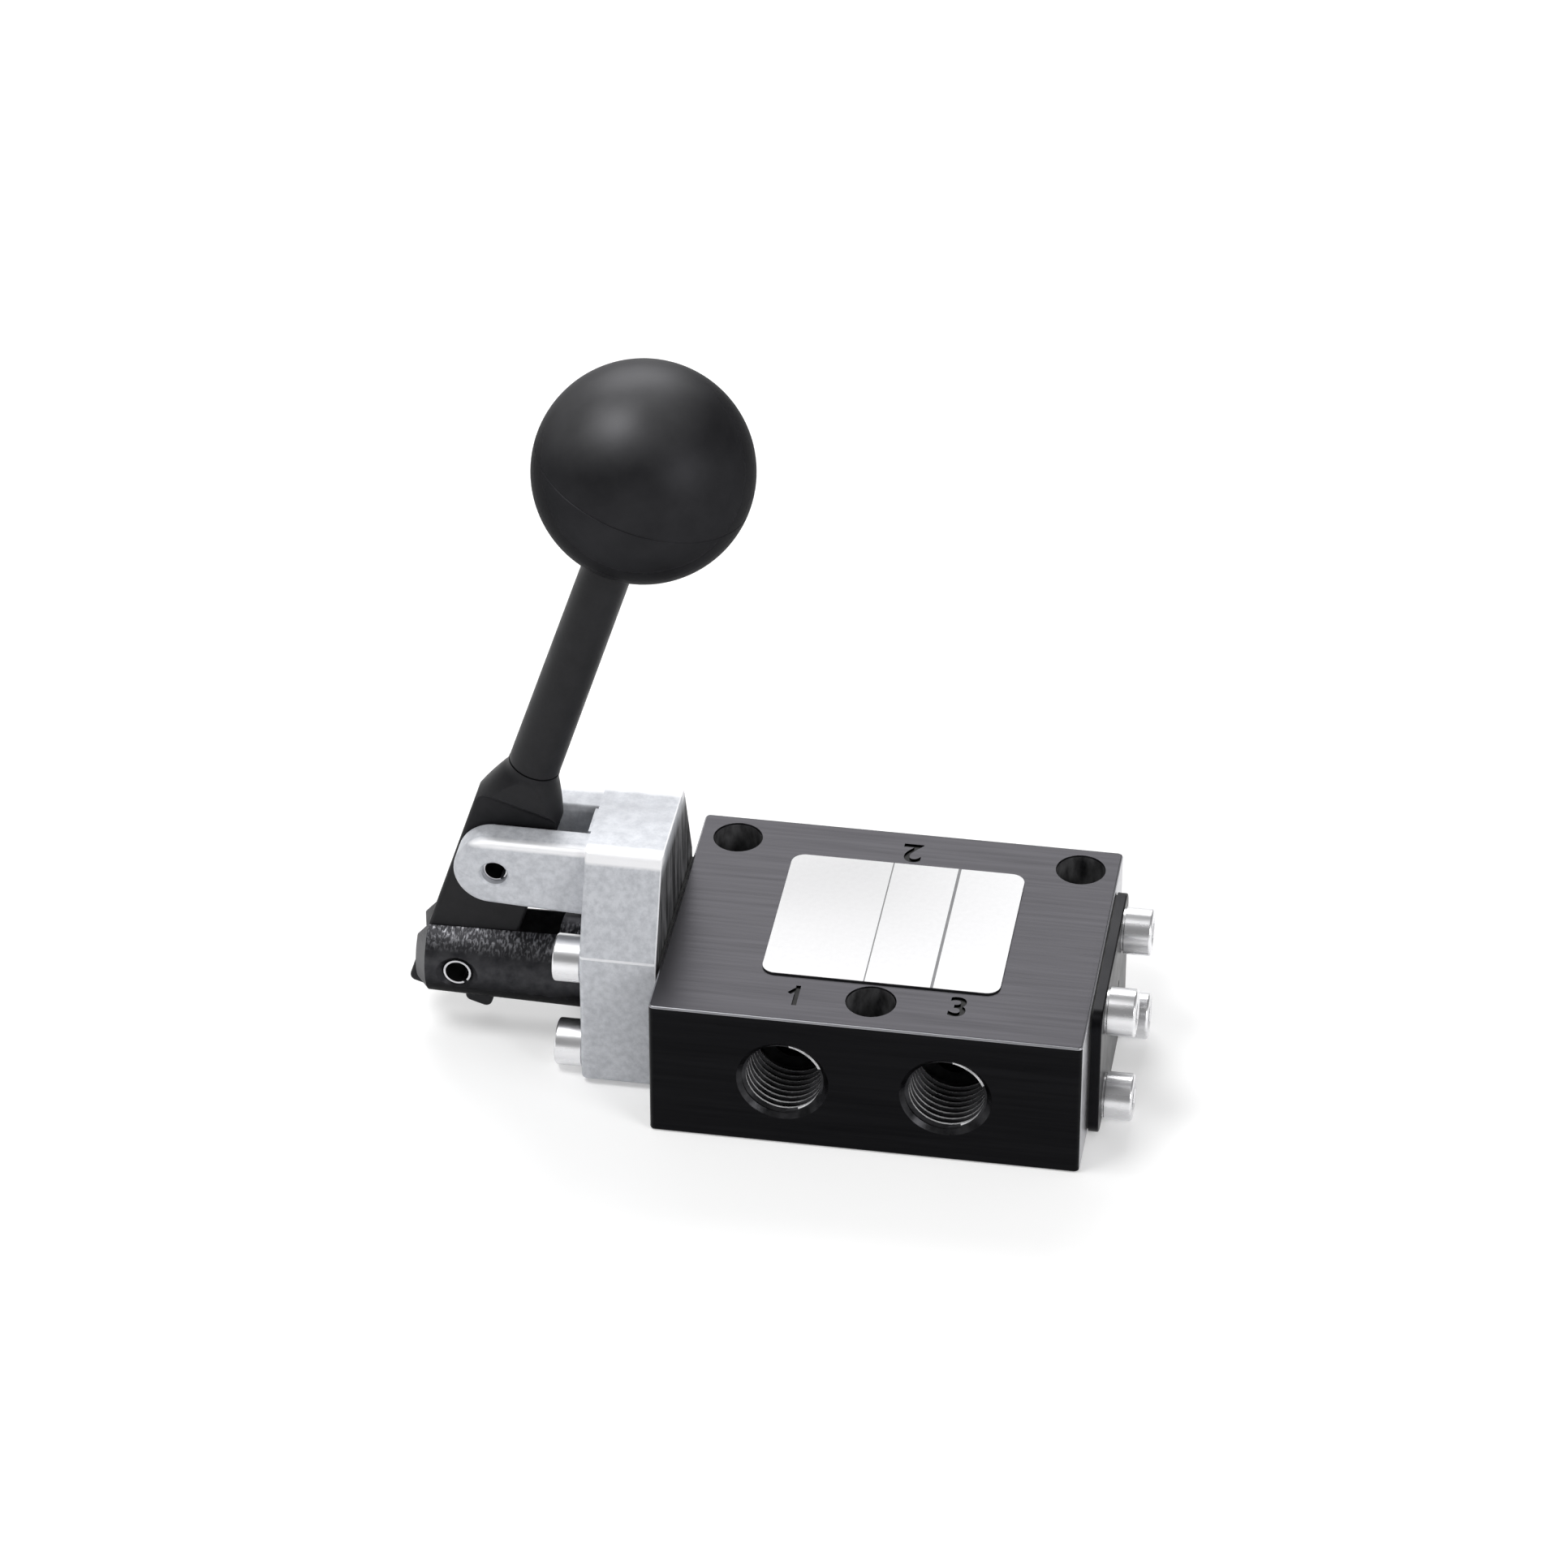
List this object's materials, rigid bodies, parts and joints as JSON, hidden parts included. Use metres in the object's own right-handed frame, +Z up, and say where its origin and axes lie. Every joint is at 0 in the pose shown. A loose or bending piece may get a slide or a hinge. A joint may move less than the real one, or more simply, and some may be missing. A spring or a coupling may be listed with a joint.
{
  "type": "hand lever spool valve",
  "caption": "Compact pneumatic spool valve: black block with threaded ports, cast lever bracket, forked hand lever with a ball knob, and a spring end plate.",
  "frame": {"origin": "middle of the valve block's bottom face", "axes": "+Z up from the bottom face, +Y towards port 2 at the back, ports 1 and 3 face -Y, the lever bracket is at the -X end and the spring end plate at the +X end"},
  "size_m": [0.124, 0.0556, 0.1284],
  "materials": {
    "block_black": "black anodised, satin, with faint milling lines",
    "cast_alloy": "bare die casting, fine mottled skin",
    "gasket_black": "matt",
    "screw_steel": "bright turned steel",
    "bush_brass": "machined bronze",
    "seal_rubber": "satin",
    "washer_steel": "plain steel",
    "plate_black": "black, satin",
    "pin_steel": "rolled spring steel",
    "stem_black": "black oxide, oiled, fine cross texture on top",
    "spool_alloy": "fine turned",
    "spring_steel": "drawn wire",
    "lever_black": "black, semi-matt",
    "insert_brass": "machined",
    "knob_black": "moulded phenolic, worn to a satin"
  },
  "bodies": {
    "root": {"valve_body": "block_black", "lever_bracket": "cast_alloy", "bracket_gasket": "gasket_black", "bracket_screws": "screw_steel", "guide_bush": "bush_brass", "stem_wiper": "seal_rubber", "stop_washer": "washer_steel", "end_gasket": "gasket_black", "end_plate": "plate_black", "end_plate_screws": "screw_steel", "pivot_pin": "pin_steel", "return_spring": "spring_steel"},
    "spool_group": {"spool_stem": "stem_black", "stem_pin": "pin_steel", "spool": "spool_alloy", "spring_seat": "washer_steel", "spool_seal_1": "seal_rubber", "spool_seal_2": "seal_rubber", "spool_seal_3": "seal_rubber", "spool_seal_4": "seal_rubber", "spool_seal_5": "seal_rubber", "spool_seal_6": "seal_rubber"},
    "lever": {"lever_arm": "lever_black", "pivot_bush": "bush_brass", "lever_rod": "lever_black", "knob_insert": "insert_brass", "ball_knob": "knob_black"}
  },
  "joints": [
    {"name": "lever_pivot", "type": "hinge", "parent": "root", "child": "lever", "pos_m": [-0.06475, 0, 0.0354], "axis": [0, -1, 0], "range_deg": [0, 18]},
    {"name": "spool_slide", "type": "slide", "parent": "root", "child": "spool_group", "axis": [1, 0, 0], "range_m": [0, 0.00739], "stiffness_N_per_m": 400, "springref_m": -0.01, "deforming": ["return_spring"]}
  ],
  "couplings": [
    {"joint": "spool_slide", "follows": "lever_pivot", "m_per_rad": 0.023477}
  ]
}
